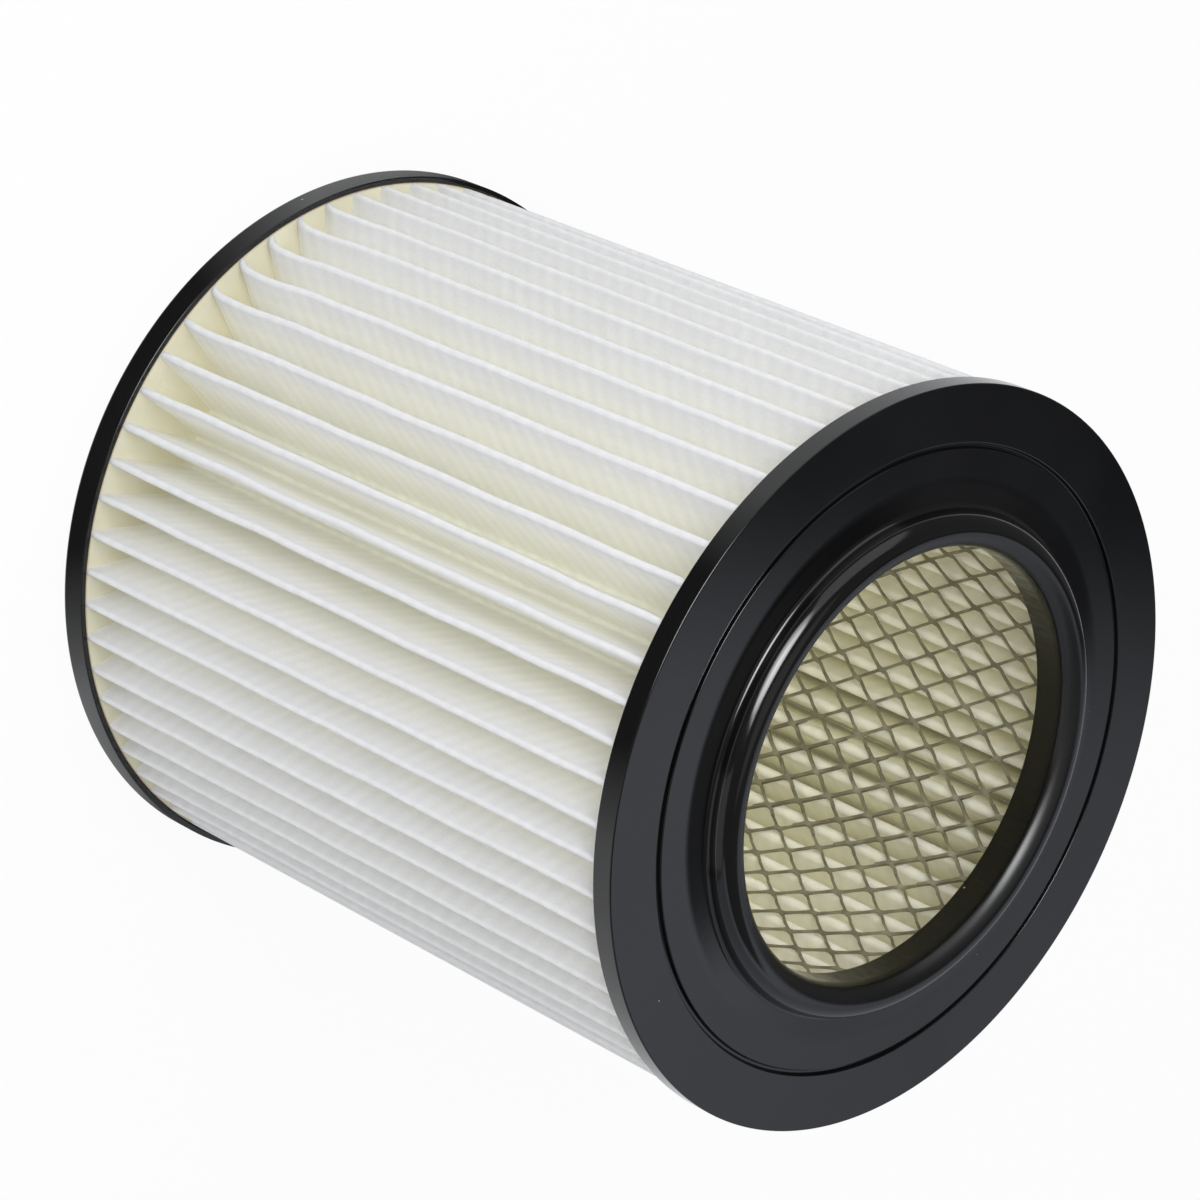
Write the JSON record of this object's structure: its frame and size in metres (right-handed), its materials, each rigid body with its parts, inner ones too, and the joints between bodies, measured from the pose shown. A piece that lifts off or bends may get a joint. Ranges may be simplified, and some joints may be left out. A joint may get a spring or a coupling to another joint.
{
  "type": "central vacuum filter",
  "caption": "Round pleated cartridge filter with an expanded steel core, a collared bore in its open end cap and a closed cap at the other end.",
  "frame": {"origin": "centre of the closed end's outer face, on the filter's axis", "axes": "+Z along the axis, from the closed end to the open end"},
  "size_m": [0.178, 0.178, 0.1967],
  "materials": {
    "cap_plastic": "gloss black",
    "filter_sheet": "off-white felted sheet",
    "core_steel": "dull grey",
    "adhesive": "satin cream"
  },
  "bodies": {
    "root": {"open_end_cap": "cap_plastic", "closed_end_cap": "cap_plastic", "pleated_media": "filter_sheet", "support_core": "core_steel", "open_end_adhesive": "adhesive", "closed_end_adhesive": "adhesive"}
  },
  "joints": []
}
